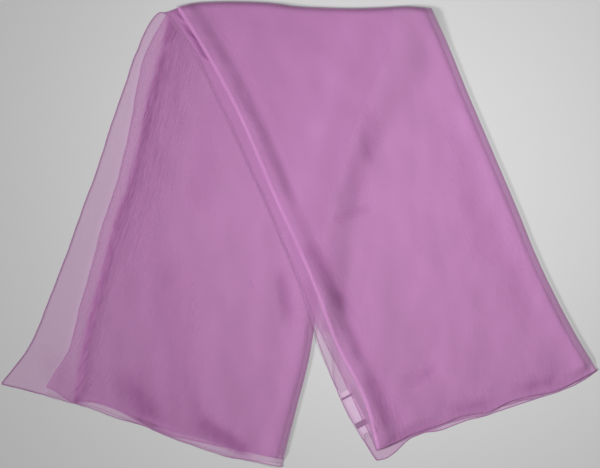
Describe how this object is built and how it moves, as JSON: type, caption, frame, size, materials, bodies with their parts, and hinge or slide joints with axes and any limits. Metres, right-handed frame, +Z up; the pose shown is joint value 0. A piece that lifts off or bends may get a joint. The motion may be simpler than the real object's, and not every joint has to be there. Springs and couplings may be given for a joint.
{
  "type": "scarf",
  "caption": "Large square scarf of sheer mauve silk georgette with a machine-rolled hem, folded lengthwise, turned over at the top and laid flat as two crossed tails",
  "frame": {"origin": "middle of the outline seen from above, on the table plane", "axes": "+X to the right across the two tails, +Y towards the turned-over top, +Z up from the table"},
  "size_m": [0.894, 0.6992, 0.0146],
  "materials": {
    "silk_top_left": "matt",
    "silk_core_left": "matt",
    "silk_front_right": "matt",
    "silk_core_right": "matt",
    "satin_label": "satin"
  },
  "bodies": {
    "root": {"left_tail_folded_core": "silk_core_left", "left_tail_top_layer": "silk_top_left", "right_tail_folded_core": "silk_core_right", "right_tail_front_layer": "silk_front_right", "sewn_label": "satin_label"}
  },
  "joints": []
}
